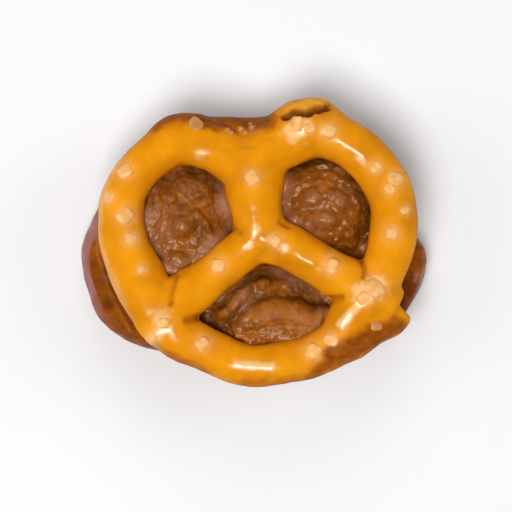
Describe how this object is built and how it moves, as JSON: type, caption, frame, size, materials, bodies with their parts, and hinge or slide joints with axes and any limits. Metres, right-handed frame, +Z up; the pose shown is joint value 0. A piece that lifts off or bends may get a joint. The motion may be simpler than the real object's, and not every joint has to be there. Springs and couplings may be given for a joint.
{
  "type": "filled pretzel sandwich",
  "caption": "Sandwich of small knot pretzels joined by a soft chocolate filling that wells up through the holes, with coarse salt on the crowns.",
  "frame": {"origin": "centre of the bounding box at the table", "axes": "+X across the width of the pretzel, +Y from the twisted ends towards the notch between the loops, +Z up through the sandwich"},
  "size_m": [0.0444, 0.036, 0.0147],
  "materials": {
    "crust_golden": "glossy glazed crust",
    "crust_brown": "glossy browned crust",
    "chocolate_filling": "satin, grainy",
    "salt": "translucent coarse crystals"
  },
  "bodies": {
    "root": {"pretzel_upper": "crust_golden", "pretzel_lower": "crust_brown", "chocolate_filling": "chocolate_filling"}
  },
  "joints": []
}
